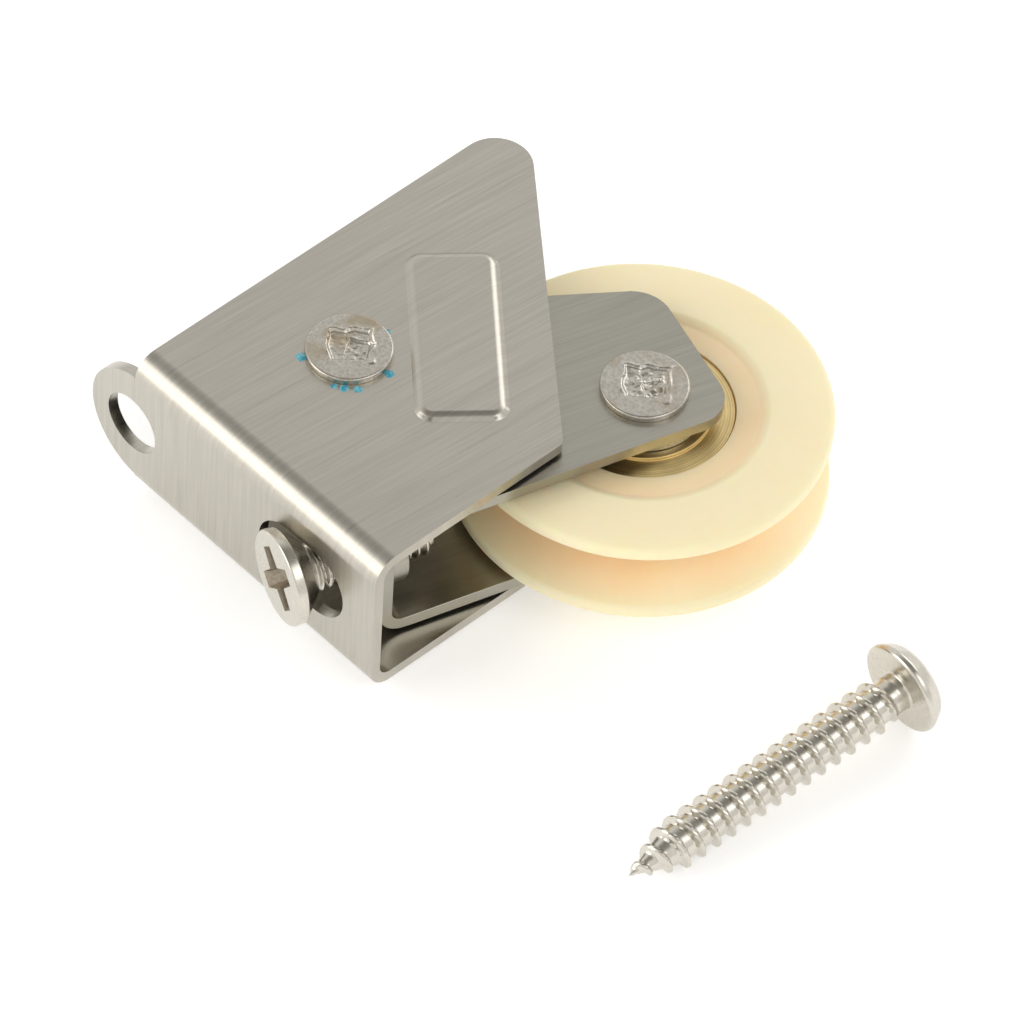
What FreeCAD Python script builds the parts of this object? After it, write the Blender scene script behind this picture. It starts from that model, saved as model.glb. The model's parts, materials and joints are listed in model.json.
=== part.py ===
import FreeCAD, Part
import math
import os
from types import SimpleNamespace

import Sketcher
from FreeCAD import Placement, Rotation, Vector

# Sliding door roller, lying on one side plate.
# Origin: centre of the fixing hole on the web's outer face. +X runs along the web from the fixing
# tab to the open mouth, +Y goes into the housing, +Z is up, across the two side plates.
# The arm's own frame has its origin at the pivot: x towards the mouth, y towards the axle.

DRIVING_SIZES = [
    # name, millimetres or degrees, what it is
    ("housing_sheet", 0.9, "thickness of the housing's sheet"),
    ("housing_width", 13.6, "over the two side plates"),
    ("bend_radius", 2.0, "outside radius of the housing's bends"),
    ("plate_setback", 0.2, "fixing hole to the side plates' upper edge"),
    ("plate_length", 25.9, "side plates, along the web"),
    ("mouth_depth", 18.25, "side plates' depth at the open mouth"),
    ("slant_angle", 38.4, "slanted edge of the side plates"),
    ("tip_radius", 2.8, "far corner of the side plates"),
    ("heel_radius", 0.8, "corner between slanted edge and mouth"),
    ("tab_radius", 5.3, "round end of the fixing tab"),
    ("tab_centre", 1.0, "centre of the tab's round end, from the hole"),
    ("fixing_hole_radius", 2.55, "hole for the fixing screw"),
    ("slot_inset", 3.2, "lower end of the adjusting slot, from the mouth edge"),
    ("slot_travel", 2.8, "adjusting slot, between the centres of its round ends"),
    ("panel_inset", 12.55, "centre of the pressed panel, from the mouth edge"),
    ("panel_y", 19.4, "centre of the pressed panel, from the web"),
    ("panel_length", 16.4, "pressed panel, lengthwise"),
    ("panel_width", 6.9, "pressed panel, across"),
    ("panel_corner", 1.3, "corner radius of the pressed panel"),
    ("panel_height", 0.4, "how far the panel is pressed out"),
    ("panel_angle", 39.6, "pressed panel's turn from the web's direction"),
    ("panel_draft", 50.0, "slope of the panel's walls, from upright"),
    ("pivot_inset", 16.6, "pivot rivet, from the mouth edge"),
    ("pivot_y", 12.5, "pivot rivet, from the web"),
    ("shank_radius", 2.0, "shank of both rivets"),
    ("rivet_head_radius", 3.25, "heads of the pivot rivet"),
    ("rivet_head_height", 0.6, "heads of both rivets"),
    ("rivet_head_round", 0.25, "rounded rim of a rivet head"),
    ("running_clearance", 0.06, "radial clearance of a turning fit"),
    ("sleeve_radius", 3.0, "outside of the pivot and axle sleeves"),
    ("arm_sheet", 1.0, "thickness of the arm's sheet"),
    ("arm_gap", 0.35, "between the arm and each side plate"),
    ("arm_bend_radius", 2.0, "outside radius of the arm's bends"),
    ("arm_angle", 16.0, "arm's turn towards the mouth as adjusted"),
    ("collar_margin", 0.7, "tapped collar to the arm's lower edge"),
    ("arm_back", 5.6, "pivot to the arm's upper edge"),
    ("arm_web", 5.0, "pivot to the outer face of the arm's web"),
    ("arm_reach", 23.6, "pivot to the arm's end edge"),
    ("arm_end_width", 12.9, "arm's end edge"),
    ("arm_taper", 20.4, "slant of the arm's upper edge"),
    ("arm_upper_corner", 3.0, "corner radius at the slanted edge"),
    ("arm_lower_corner", 2.75, "corner radius at the lower edge"),
    ("axle_x", 11.2, "axle in the arm's frame"),
    ("axle_y", 18.4, "axle in the arm's frame"),
    ("axle_head_radius", 3.3, "heads of the axle rivet"),
    ("wheel_radius", 14.0, "over the wheel's rims"),
    ("wheel_side_gap", 0.65, "between the wheel and each arm plate"),
    ("rim_thickness", 1.25, "each rim at its edge"),
    ("rim_round", 0.55, "rounded edges of the rims"),
    ("groove_root_radius", 10.0, "bottom of the rail groove"),
    ("groove_root_width", 1.8, "flat at the bottom of the groove"),
    ("groove_round", 1.2, "rounding at the bottom of the groove"),
    ("hub_ring_radius", 8.8, "shallow recess round the bush"),
    ("hub_ring_slope", 0.4, "width of the recess's sloped wall"),
    ("hub_ring_depth", 0.35, "depth of the recess round the bush"),
    ("bush_radius", 6.8, "brass bush, pressed into the wheel"),
    ("bush_step_radius", 5.1, "raised bearing face of the bush"),
    ("bush_step", 0.3, "height of the bearing face"),
    ("washer_radius", 4.5, "washers beside the bush"),
    ("washer_thickness", 0.75, "washers beside the bush"),
    ("end_play", 0.1, "free play at each end of the bush"),
    ("screw_shift", 0.1, "adjusting screw in the slot, from the slot's middle"),
    ("screw_radius", 2.0, "adjusting screw's thread, M4"),
    ("screw_pitch", 0.7, "adjusting screw's thread"),
    ("screw_length", 12.0, "adjusting screw, over all"),
    ("screw_head_radius", 3.7, "adjusting screw's countersunk head"),
    ("screw_rim", 0.8, "cylindrical rim of that head"),
    ("seat_width", 0.6, "how far that head overlaps the slot's edge"),
    ("seat_clearance", 0.45, "between that head's cone and the slot"),
    ("collar_radius", 3.1, "tapped collar drawn out of the arm's web"),
    ("collar_height", 1.6, "tapped collar"),
    ("fixing_radius", 1.95, "fixing screw's thread"),
    ("fixing_core_radius", 1.45, "fixing screw's core"),
    ("fixing_pitch", 1.4, "fixing screw's thread"),
    ("fixing_length", 25.3, "fixing screw, under its head"),
    ("fixing_point", 4.2, "fixing screw's tapered point"),
    ("fixing_head_radius", 3.65, "fixing screw's round head"),
    ("fixing_head_height", 2.1, "fixing screw's round head"),
    ("fixing_head_rim", 0.4, "straight rim of the round head"),
    ("fixing_tip_x", 51.27, "where the loose screw's tip lies"),
    ("fixing_tip_y", 1.93, "where the loose screw's tip lies"),
    ("fixing_turn", 3.2, "loose screw's turn away from +Y"),
    ("recess_arm", 0.95, "width of a recess arm"),
    ("recess_edge", 1.4, "end of a recess arm to the countersunk head's rim"),
    ("recess_depth", 1.5, "countersunk head's cross recess"),
    ("fixing_recess_depth", 1.3, "round head's cross recess"),
    ("recess_turn", 30.0, "adjusting screw's recess, from the arm's plane"),
]

OVERRUN = 1.0  # how far a cutting outline passes the edge it cuts
THROUGH = 4  # a cut right through is this many times as long as what it crosses
TOUCH = 0.001  # two places closer than this are the same place
SIDES = {"upper": 1, "lower": -1}

MACHINE_THREAD_DEPTH = 0.4  # of the pitch
TAPPING_THREAD_FOOT = 0.28  # half the width of the ridge at the core, of the pitch
TAPPING_THREAD_CREST = 0.06  # half the width of the ridge's crest, millimetres
RIDGE_SINK = 0.9  # the ridge starts at this share of the core's radius
ROUND_HEAD_CURVE = ((0.5, 0.0), (0.78, 0.45))  # shares of the head's radius and of its crown


# ---- Values that carry their spreadsheet expression ----------------------------------------------

class Formula:
    """A number together with the spreadsheet expression that gives it."""

    def __init__(self, value, text):
        self.value = value
        self.text = text

    def __add__(self, other):
        other = formula(other)
        return Formula(self.value + other.value, f"({self.text} + {other.text})")

    def __sub__(self, other):
        other = formula(other)
        return Formula(self.value - other.value, f"({self.text} - {other.text})")

    def __mul__(self, other):
        other = formula(other)
        return Formula(self.value * other.value, f"({self.text} * {other.text})")

    def __truediv__(self, other):
        other = formula(other)
        return Formula(self.value / other.value, f"({self.text} / {other.text})")

    def __neg__(self):
        return Formula(-self.value, f"(0 - {self.text})")


def formula(item):
    """A plain number as a Formula; a Formula stays as it is."""
    if isinstance(item, Formula):
        return item
    return Formula(float(item), f"{float(item)}")


def sine(angle):
    return Formula(math.sin(math.radians(angle.value)), f"sin({angle.text})")


def cosine(angle):
    return Formula(math.cos(math.radians(angle.value)), f"cos({angle.text})")


def tangent(angle):
    return Formula(math.tan(math.radians(angle.value)), f"tan({angle.text})")


def root(item):
    return Formula(math.sqrt(item.value), f"sqrt({item.text})")


def whole(item):
    return Formula(math.floor(item.value), f"floor({item.text})")


def make_sheet(doc):
    """Write the driving sizes to the spreadsheet and return them as formulas by name."""
    sheet = doc.addObject("Spreadsheet::Sheet", "Sizes")
    for row, (name, value, meaning) in enumerate(DRIVING_SIZES, start=1):
        sheet.set(f"A{row}", name)
        sheet.set(f"B{row}", str(value))
        sheet.set(f"C{row}", meaning)
        sheet.setAlias(f"B{row}", name)
    doc.recompute()
    size = SimpleNamespace(**{
        name: Formula(float(sheet.get(name)), f"Sizes.{name}") for name, _, _ in DRIVING_SIZES
    })
    derive(size)
    return size


def derive(size):
    """Sizes that follow from the driving ones, so that what fits together stays together."""
    size.mouth = size.plate_setback + size.plate_length
    size.slot_end = size.mouth - size.slot_inset
    size.slot_width = (size.screw_head_radius - size.seat_width) * 2
    size.slot_start = size.slot_end - size.slot_travel - size.slot_width
    size.panel_x = size.mouth - size.panel_inset
    size.pivot_x = size.mouth - size.pivot_inset
    size.arm_outer = size.housing_width / 2 - size.housing_sheet - size.arm_gap
    size.arm_inner = size.arm_outer - size.arm_sheet
    size.wheel_width = (size.arm_inner - size.wheel_side_gap) * 2
    size.bush_length = (size.arm_inner - size.washer_thickness - size.end_play) * 2
    across_slot = (size.slot_start + size.slot_end) / 2 + size.screw_shift - size.pivot_x
    lean = size.arm_angle
    size.screw_offset = (across_slot + size.pivot_y * tangent(lean)) * cosine(lean)
    size.arm_front = size.screw_offset + size.collar_radius + size.collar_margin


# ---- Sketches -----------------------------------------------------------------------------------

def bind(item, **properties):
    """Bind properties of a document object to formulas."""
    for name, value in properties.items():
        item.setExpression(name, formula(value).text)


def new_body(doc, name):
    body = doc.addObject("PartDesign::Body", name)
    body.Label = name
    return body


def new_sketch(body, name, plane, lift=0.0):
    """A sketch on one of the body's origin planes, lifted along that plane's normal."""
    sketch = body.newObject("Sketcher::SketchObject", name)
    support = next(item for item in body.Origin.OriginFeatures if item.Role == plane)
    sketch.AttachmentSupport = [(support, "")]
    sketch.MapMode = "FlatFace"
    lift = formula(lift)
    sketch.AttachmentOffset = Placement(Vector(0, 0, lift.value), Rotation())
    sketch.setExpression("AttachmentOffset.Base.z", lift.text)
    return sketch


def dimension(sketch, kind, *target, value):
    """A driving constraint whose value is bound to a formula."""
    index = sketch.addConstraint(Sketcher.Constraint(kind, *target, value.value))
    sketch.setExpression(f"Constraints[{index}]", value.text)


def place_point(sketch, piece, point, across, up):
    """Hold a point of a sketch piece at a place measured from the sketch's origin."""
    dimension(sketch, "DistanceX", -1, 1, piece, point, value=formula(across))
    dimension(sketch, "DistanceY", -1, 1, piece, point, value=formula(up))


def polygon(sketch, corners):
    """A closed outline of straight lines through the corners."""
    places = [Vector(formula(x).value, formula(y).value, 0) for x, y in corners]
    for start, end in zip(places, places[1:] + places[:1]):
        sketch.addGeometry(Part.LineSegment(start, end), False)
    for line, (across, up) in enumerate(corners):
        sketch.addConstraint(Sketcher.Constraint("Coincident", line - 1 if line else len(corners) - 1,
                                                 2, line, 1))
        place_point(sketch, line, 1, across, up)


def circle(sketch, across, up, radius):
    centre = Vector(formula(across).value, formula(up).value, 0)
    piece = sketch.addGeometry(Part.Circle(centre, Vector(0, 0, 1), radius.value), False)
    place_point(sketch, piece, 3, across, up)
    dimension(sketch, "Radius", piece, value=radius)


def arc(sketch, across, up, radius, start, end):
    """An arc between two angles in degrees; returns its index in the sketch."""
    round_edge = Part.Circle(Vector(across, up, 0), Vector(0, 0, 1), radius)
    return sketch.addGeometry(Part.ArcOfCircle(round_edge, math.radians(start), math.radians(end)), False)


def line_between(sketch, first, first_end, second, second_end):
    """A straight line from one piece's end point to another's."""
    start = sketch.getPoint(first, first_end)
    end = sketch.getPoint(second, second_end)
    return sketch.addGeometry(Part.LineSegment(start, end), False)


def slot_outline(sketch, start, end, width):
    """A slot with round ends along the sketch's horizontal axis, from end to end."""
    radius = width / 2
    left = arc(sketch, (start + radius).value, 0, radius.value, 90, 270)
    right = arc(sketch, (end - radius).value, 0, radius.value, 270, 450)
    lower = line_between(sketch, left, 2, right, 1)
    upper = line_between(sketch, right, 2, left, 1)
    for first, first_end, second, second_end in (
            (left, 2, lower, 1), (lower, 2, right, 1), (right, 2, upper, 1), (upper, 2, left, 1)):
        sketch.addConstraint(Sketcher.Constraint("Tangent", first, first_end, second, second_end))
    sketch.addConstraint(Sketcher.Constraint("Equal", left, right))
    place_point(sketch, left, 3, start + radius, 0)
    place_point(sketch, right, 3, end - radius, 0)
    dimension(sketch, "Radius", left, value=radius)


def rounded_rectangle(sketch, length, width, radius):
    """A rectangle with round corners, centred on the sketch's origin."""
    across = length / 2 - radius
    up = width / 2 - radius
    signs = [(1, 1), (-1, 1), (-1, -1), (1, -1)]
    arcs = [arc(sketch, x * across.value, y * up.value, radius.value, 90 * turn, 90 * turn + 90)
            for turn, (x, y) in enumerate(signs)]
    lines = [line_between(sketch, arcs[turn], 2, arcs[(turn + 1) % 4], 1) for turn in range(4)]
    for turn in range(4):
        following = arcs[(turn + 1) % 4]
        sketch.addConstraint(Sketcher.Constraint("Tangent", arcs[turn], 2, lines[turn], 1))
        sketch.addConstraint(Sketcher.Constraint("Tangent", lines[turn], 2, following, 1))
        sketch.addConstraint(Sketcher.Constraint(("Horizontal", "Vertical")[turn % 2], lines[turn]))
    for turn in (1, 2, 3):
        sketch.addConstraint(Sketcher.Constraint("Equal", arcs[0], arcs[turn]))
    place_point(sketch, arcs[0], 3, across, up)
    place_point(sketch, arcs[2], 3, -across, -up)
    dimension(sketch, "Radius", arcs[0], value=radius)


def cross_outline(sketch, span, arm):
    """A plus-shaped outline, centred on the sketch's origin."""
    tip = span / 2
    side = arm / 2
    polygon(sketch, [
        (tip, -side), (tip, side), (side, side), (side, tip), (-side, tip), (-side, side),
        (-tip, side), (-tip, -side), (-side, -side), (-side, -tip), (side, -tip), (side, -side),
    ])


# ---- Features -----------------------------------------------------------------------------------

def pad(body, name, sketch, length, reverse=False, symmetric=False):
    feature = body.newObject("PartDesign::Pad", name)
    feature.Profile = sketch
    feature.SideType = "Symmetric" if symmetric else "One side"
    feature.Reversed = reverse
    bind(feature, Length=length)
    return feature


def pocket(body, name, sketch, length, reverse=False, symmetric=False):
    """Cut a sketch out of the body; a cut that removes nothing is an error."""
    before = body.Tip.Shape.Volume
    feature = body.newObject("PartDesign::Pocket", name)
    feature.Profile = sketch
    feature.SideType = "Symmetric" if symmetric else "One side"
    feature.Reversed = reverse
    bind(feature, Length=length)
    body.Document.recompute()
    if not feature.Shape.Volume < before - TOUCH:
        raise RuntimeError(f"{body.Label}: {name} removes nothing")
    return feature


def revolve(body, name, corners, kind="PartDesign::Revolution"):
    """A full turn of an outline (radius, height) round the body's own Z axis."""
    sketch = new_sketch(body, name + "_outline", "XZ_Plane")
    polygon(sketch, corners)
    feature = body.newObject(kind, name)
    feature.Profile = sketch
    feature.ReferenceAxis = (sketch, ["V_Axis"])
    feature.Angle = 360
    body.Document.recompute()
    return feature


def repeat_along_z(body, name, original, spacing, count):
    """Repeat one feature along the body's own Z axis."""
    axis = next(item for item in body.Origin.OriginFeatures if item.Role == "Z_Axis")
    pattern = body.newObject("PartDesign::LinearPattern", name)
    pattern.Originals = [original]
    pattern.Direction = (axis, [""])
    pattern.Mode = "Spacing"
    bind(pattern, Offset=spacing, Occurrences=count)
    body.Tip = pattern
    body.Document.recompute()
    return pattern


def round_edges(body, name, edges, radius):
    rounded = body.Tip
    fillet = body.newObject("PartDesign::Fillet", name)
    fillet.Base = (rounded, edges)
    bind(fillet, Radius=radius)
    body.Document.recompute()
    return fillet


def straight_edges(shape, axis, places):
    """Names of the edges along one axis that pass through the given places across it."""
    across = [number for number in range(3) if number != axis]
    names = []
    for number, edge in enumerate(shape.Edges, start=1):
        ends = [vertex.Point for vertex in edge.Vertexes]
        for place in places:
            gaps = [abs(end[across[k]] - formula(place[k]).value) for end in ends for k in (0, 1)]
            if len(ends) == 2 and max(gaps) < TOUCH:
                names.append(f"Edge{number}")
    return names


def ring_edges(shape, places):
    """Names of the circular edges with the given radius and height."""
    names = []
    for number, edge in enumerate(shape.Edges, start=1):
        if not isinstance(edge.Curve, Part.Circle):
            continue
        for radius, height in places:
            near = abs(edge.Curve.Radius - formula(radius).value) < TOUCH
            level = abs(edge.Curve.Center.z - formula(height).value) < TOUCH
            if near and level:
                names.append(f"Edge{number}")
    return names


# ---- The housing --------------------------------------------------------------------------------

def channel(body, sheet, half, depth, start, length, bend, web=0.0):
    """A bent sheet with a flat web and two side plates, its length along the body's X axis."""
    sketch = new_sketch(body, "channel_section", "YZ_Plane", lift=start)
    inner = half - sheet
    floor = formula(web) + sheet
    polygon(sketch, [
        (web, -half), (depth, -half), (depth, -inner), (floor, -inner),
        (floor, inner), (depth, inner), (depth, half), (web, half),
    ])
    pad(body, "channel", sketch, length)
    body.Document.recompute()
    shape = body.Tip.Shape
    outer_bends = straight_edges(shape, 0, [(web, half), (web, -half)])
    round_edges(body, "outer_bends", outer_bends, bend)
    shape = body.Tip.Shape
    inner_bends = straight_edges(shape, 0, [(floor, inner), (floor, -inner)])
    round_edges(body, "inner_bends", inner_bends, bend - sheet)


def make_housing(doc, size):
    """One bent sheet: web with fixing tab and slot, and two side plates with a slanted edge."""
    body = new_body(doc, "housing")
    half = size.housing_width / 2
    start = size.plate_setback
    end = size.mouth
    slope = tangent(size.slant_angle)
    tip_depth = size.mouth_depth + size.plate_length * slope
    channel(body, size.housing_sheet, half, tip_depth, start, size.plate_length, size.bend_radius)

    slant = new_sketch(body, "slanted_edge", "XY_Plane")
    rise = slope * OVERRUN
    polygon(slant, [
        (start - OVERRUN, tip_depth + rise), (end + OVERRUN, size.mouth_depth - rise),
        (end + OVERRUN, tip_depth + rise),
    ])
    pocket(body, "cut_slanted_edge", slant, size.housing_width * THROUGH, symmetric=True)
    shape = body.Tip.Shape
    round_edges(body, "tips", straight_edges(shape, 2, [(start, tip_depth)]), size.tip_radius)
    shape = body.Tip.Shape
    round_edges(body, "heels", straight_edges(shape, 2, [(end, size.mouth_depth)]), size.heel_radius)

    make_tab(body, size, start)
    hole = new_sketch(body, "fixing_hole", "XZ_Plane")
    circle(hole, 0, 0, size.fixing_hole_radius)
    pocket(body, "cut_fixing_hole", hole, size.housing_sheet * THROUGH, symmetric=True)
    slot = new_sketch(body, "adjusting_slot", "XZ_Plane")
    slot_outline(slot, size.slot_start, size.slot_end, size.slot_width)
    pocket(body, "cut_adjusting_slot", slot, size.housing_sheet * THROUGH, symmetric=True)
    holes = new_sketch(body, "rivet_holes", "XY_Plane")
    circle(holes, size.pivot_x, size.pivot_y, size.shank_radius)
    pocket(body, "cut_rivet_holes", holes, size.housing_width * THROUGH, symmetric=True)
    for side, sign in SIDES.items():
        make_panel(body, size, side, sign, half)
    return body


def make_tab(body, size, start):
    """The web's round end, which carries the fixing hole beyond the side plates."""
    sketch = new_sketch(body, "fixing_tab", "XZ_Plane")
    chord = root(size.tab_radius * size.tab_radius
                 - (size.tab_centre - start) * (size.tab_centre - start))
    opening = math.degrees(math.atan2(chord.value, start.value - size.tab_centre.value))
    tab = arc(sketch, size.tab_centre.value, 0, size.tab_radius.value, opening, 360 - opening)
    edge = line_between(sketch, tab, 2, tab, 1)
    sketch.addConstraint(Sketcher.Constraint("Coincident", tab, 2, edge, 1))
    sketch.addConstraint(Sketcher.Constraint("Coincident", edge, 2, tab, 1))
    sketch.addConstraint(Sketcher.Constraint("Vertical", edge))
    place_point(sketch, tab, 3, size.tab_centre, 0)
    dimension(sketch, "Radius", tab, value=size.tab_radius)
    dimension(sketch, "DistanceX", -1, 1, edge, 1, value=start)
    pad(body, "tab", sketch, size.housing_sheet, reverse=True)
    body.Document.recompute()


def make_panel(body, size, side, sign, half):
    """A shallow panel pressed outwards in a side plate, hollow on the inside."""
    inner = half - size.housing_sheet
    for name, height, grow in (("raised", half, True), ("hollow", inner, False)):
        sketch = new_sketch(body, f"{side}_{name}", "XY_Plane", lift=height * sign)
        turn = Rotation(Vector(0, 0, 1), -size.panel_angle.value)
        place = Vector(size.panel_x.value, size.panel_y.value, height.value * sign)
        sketch.AttachmentOffset = Placement(place, turn)
        bind(sketch, **{"AttachmentOffset.Base.x": size.panel_x,
                        "AttachmentOffset.Base.y": size.panel_y})
        rounded_rectangle(sketch, size.panel_length, size.panel_width, size.panel_corner)
        if grow:
            feature = pad(body, f"panel_{side}_{name}", sketch, size.panel_height, reverse=sign < 0)
        else:
            feature = pocket(body, f"panel_{side}_{name}", sketch, size.panel_height, reverse=sign > 0)
        bind(feature, TaperAngle=-size.panel_draft)
        body.Document.recompute()


# ---- The arm ------------------------------------------------------------------------------------

def on_arm(size, x, y, z, turn=None):
    """The placement of something at a place in the arm's own frame."""
    pivot = Vector(size.pivot_x.value, size.pivot_y.value, 0)
    arm_frame = Placement(pivot, Rotation(Vector(0, 0, 1), -size.arm_angle.value))
    return arm_frame.multiply(Placement(Vector(x, y, z), turn or Rotation()))


def make_arm_bracket(doc, size):
    """One bent sheet: a web with a tapped collar and two plates that hold the wheel."""
    body = new_body(doc, "arm_bracket")
    length = size.arm_back + size.arm_front
    channel(body, size.arm_sheet, size.arm_outer, size.arm_reach, -size.arm_back, length,
            size.arm_bend_radius, web=-size.arm_web)

    slope = tangent(size.arm_taper)
    end_start = size.arm_front - size.arm_end_width
    foot = size.arm_reach - (end_start + size.arm_back) / slope
    taper = new_sketch(body, "tapered_edge", "XY_Plane")
    polygon(taper, [
        (-size.arm_back - OVERRUN, foot - formula(OVERRUN) / slope),
        (end_start + slope * OVERRUN, size.arm_reach + OVERRUN),
        (-size.arm_back - OVERRUN, size.arm_reach + OVERRUN),
    ])
    pocket(body, "cut_tapered_edge", taper, size.housing_width * THROUGH, symmetric=True)
    corners = (("upper_corners", end_start, size.arm_upper_corner),
               ("lower_corners", size.arm_front, size.arm_lower_corner))
    for name, across, radius in corners:
        edges = straight_edges(body.Tip.Shape, 2, [(across, size.arm_reach)])
        round_edges(body, name, edges, radius)

    collar = new_sketch(body, "collar", "XZ_Plane", lift=size.arm_web - size.arm_sheet)
    circle(collar, size.screw_offset, 0, size.collar_radius)
    pad(body, "drawn_collar", collar, size.collar_height, reverse=True)
    body.Document.recompute()
    thread = new_sketch(body, "tapped_hole", "XZ_Plane", lift=size.arm_web)
    circle(thread, size.screw_offset, 0, size.screw_radius + size.running_clearance)
    depth = (size.arm_sheet + size.collar_height) * THROUGH
    pocket(body, "cut_tapped_hole", thread, depth, symmetric=True)
    holes = new_sketch(body, "rivet_holes", "XY_Plane")
    circle(holes, 0, 0, size.shank_radius + size.running_clearance)
    circle(holes, size.axle_x, size.axle_y, size.shank_radius)
    pocket(body, "cut_rivet_holes", holes, size.housing_width * THROUGH, symmetric=True)
    body.Placement = on_arm(size, 0, 0, 0)
    return body


def make_rivet(doc, size, name, head_radius, grip):
    """A rivet along Z: a plain shank with a low round head outside each plate."""
    body = new_body(doc, name)
    top = grip + size.rivet_head_height
    revolve(body, "rivet", [
        (0, -top), (head_radius, -top), (head_radius, -grip), (size.shank_radius, -grip),
        (size.shank_radius, grip), (head_radius, grip), (head_radius, top), (0, top),
    ])
    rims = ring_edges(body.Tip.Shape, [(head_radius, top), (head_radius, -top)])
    round_edges(body, "rounded_rims", rims, size.rivet_head_round)
    return body


def make_tube(doc, name, outside, bore, low, high):
    """A plain tube or washer along Z."""
    body = new_body(doc, name)
    revolve(body, "tube", [(bore, low), (outside, low), (outside, high), (bore, high)])
    return body


def make_arm_fittings(doc, size):
    """Rivets, sleeves and washers of the pivot and the axle."""
    gap = size.arm_inner
    pivot_rivet = make_rivet(doc, size, "pivot_rivet", size.rivet_head_radius, size.housing_width / 2)
    pivot_rivet.Placement.Base = Vector(size.pivot_x.value, size.pivot_y.value, 0)
    pivot_bore = size.shank_radius + size.running_clearance
    pivot_sleeve = make_tube(doc, "pivot_sleeve", size.sleeve_radius, pivot_bore, -gap, gap)
    pivot_sleeve.Placement = on_arm(size, 0, 0, 0)

    axle_rivet = make_rivet(doc, size, "axle_rivet", size.axle_head_radius, size.arm_outer)
    axle_sleeve = make_tube(doc, "axle_sleeve", size.sleeve_radius, size.shank_radius, -gap, gap)
    inside = size.bush_length / 2 + size.end_play
    washers = [
        make_tube(doc, "axle_washer_upper", size.washer_radius, size.sleeve_radius, inside, gap),
        make_tube(doc, "axle_washer_lower", size.washer_radius, size.sleeve_radius, -gap, -inside),
    ]
    fittings = [axle_rivet, axle_sleeve] + washers
    for fitting in fittings:
        fitting.Placement = on_arm(size, size.axle_x.value, size.axle_y.value, 0)
    return [pivot_rivet, pivot_sleeve] + fittings


# ---- The wheel ----------------------------------------------------------------------------------

def make_wheel(doc, size):
    """A grooved wheel, with a shallow recess round the bush on both faces."""
    body = new_body(doc, "wheel")
    face = size.wheel_width / 2
    recess = face - size.hub_ring_depth
    lip = face - size.rim_thickness
    root_half = size.groove_root_width / 2
    slope = size.hub_ring_radius + size.hub_ring_slope
    half_outline = [(size.bush_radius, recess), (size.hub_ring_radius, recess), (slope, face),
                    (size.wheel_radius, face), (size.wheel_radius, lip),
                    (size.groove_root_radius, root_half)]
    lower_half = [(radius, -height) for radius, height in reversed(half_outline)]
    revolve(body, "turned_wheel", half_outline + lower_half)
    rims = [(size.wheel_radius, height * sign) for height in (face, lip) for sign in (1, -1)]
    round_edges(body, "rounded_rims", ring_edges(body.Tip.Shape, rims), size.rim_round)
    roots = [(size.groove_root_radius, root_half * sign) for sign in (1, -1)]
    round_edges(body, "rounded_groove", ring_edges(body.Tip.Shape, roots), size.groove_round)
    body.Placement = on_arm(size, size.axle_x.value, size.axle_y.value, 0)
    return body


def make_bush(doc, size):
    """The brass bush: a plain bearing with a raised bearing face at each end."""
    body = new_body(doc, "wheel_bush")
    end = size.bush_length / 2
    shoulder = end - size.bush_step
    bore = size.sleeve_radius + size.running_clearance
    half_outline = [(bore, end), (size.bush_step_radius, end), (size.bush_step_radius, shoulder),
                    (size.bush_radius, shoulder)]
    lower_half = [(radius, -height) for radius, height in reversed(half_outline)]
    revolve(body, "turned_bush", half_outline + lower_half)
    body.Placement = on_arm(size, size.axle_x.value, size.axle_y.value, 0)
    return body


# ---- The screws ---------------------------------------------------------------------------------

def cut_cross_recess(body, size, depth):
    """A cross recess in a head whose top is at the body's origin; the shank runs along +Z."""
    sketch = new_sketch(body, "cross_recess", "XY_Plane")
    span = (size.screw_head_radius - size.recess_edge) * 2
    cross_outline(sketch, span, size.recess_arm)
    pocket(body, "cut_cross_recess", sketch, depth, reverse=True)


def make_adjusting_screw(doc, size):
    """A countersunk machine screw, head at the body's origin, shank along +Z."""
    body = new_body(doc, "adjusting_screw")
    radius = size.screw_radius
    cone_end = size.screw_rim + size.screw_head_radius - radius
    bevel = size.screw_pitch / 2
    revolve(body, "turned_screw", [
        (0, 0), (size.screw_head_radius, 0), (size.screw_head_radius, size.screw_rim),
        (radius, cone_end), (radius, size.screw_length - bevel),
        (radius - bevel, size.screw_length), (0, size.screw_length),
    ])
    first = cone_end + size.screw_pitch
    reach = size.screw_pitch * MACHINE_THREAD_DEPTH
    outside = radius + size.running_clearance
    groove = revolve(body, "thread_groove", [
        (outside, first - reach), (radius - reach, first), (outside, first + reach),
    ], kind="PartDesign::Groove")
    turns = whole((size.screw_length - first) / size.screw_pitch)
    repeat_along_z(body, "thread", groove, size.screw_pitch, turns)
    cut_cross_recess(body, size, size.recess_depth)
    head_face = adjusting_screw_face(size).value
    into_arm = Rotation(Vector(1, 0, 0), -90)
    turned = into_arm.multiply(Rotation(Vector(0, 0, 1), size.recess_turn.value))
    body.Placement = on_arm(size, size.screw_offset.value, head_face, 0, turned)
    return body


def adjusting_screw_face(size):
    """Where the screw's head face is in the arm's frame when its cone sits in the slot."""
    lean = size.arm_angle
    crossing = (size.screw_offset * sine(lean) - size.pivot_y) / cosine(lean)
    seat = size.slot_width / 2 * root(formula(1) - tangent(lean) * tangent(lean))
    return crossing - (size.screw_head_radius + size.screw_rim - seat) - size.seat_clearance


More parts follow.
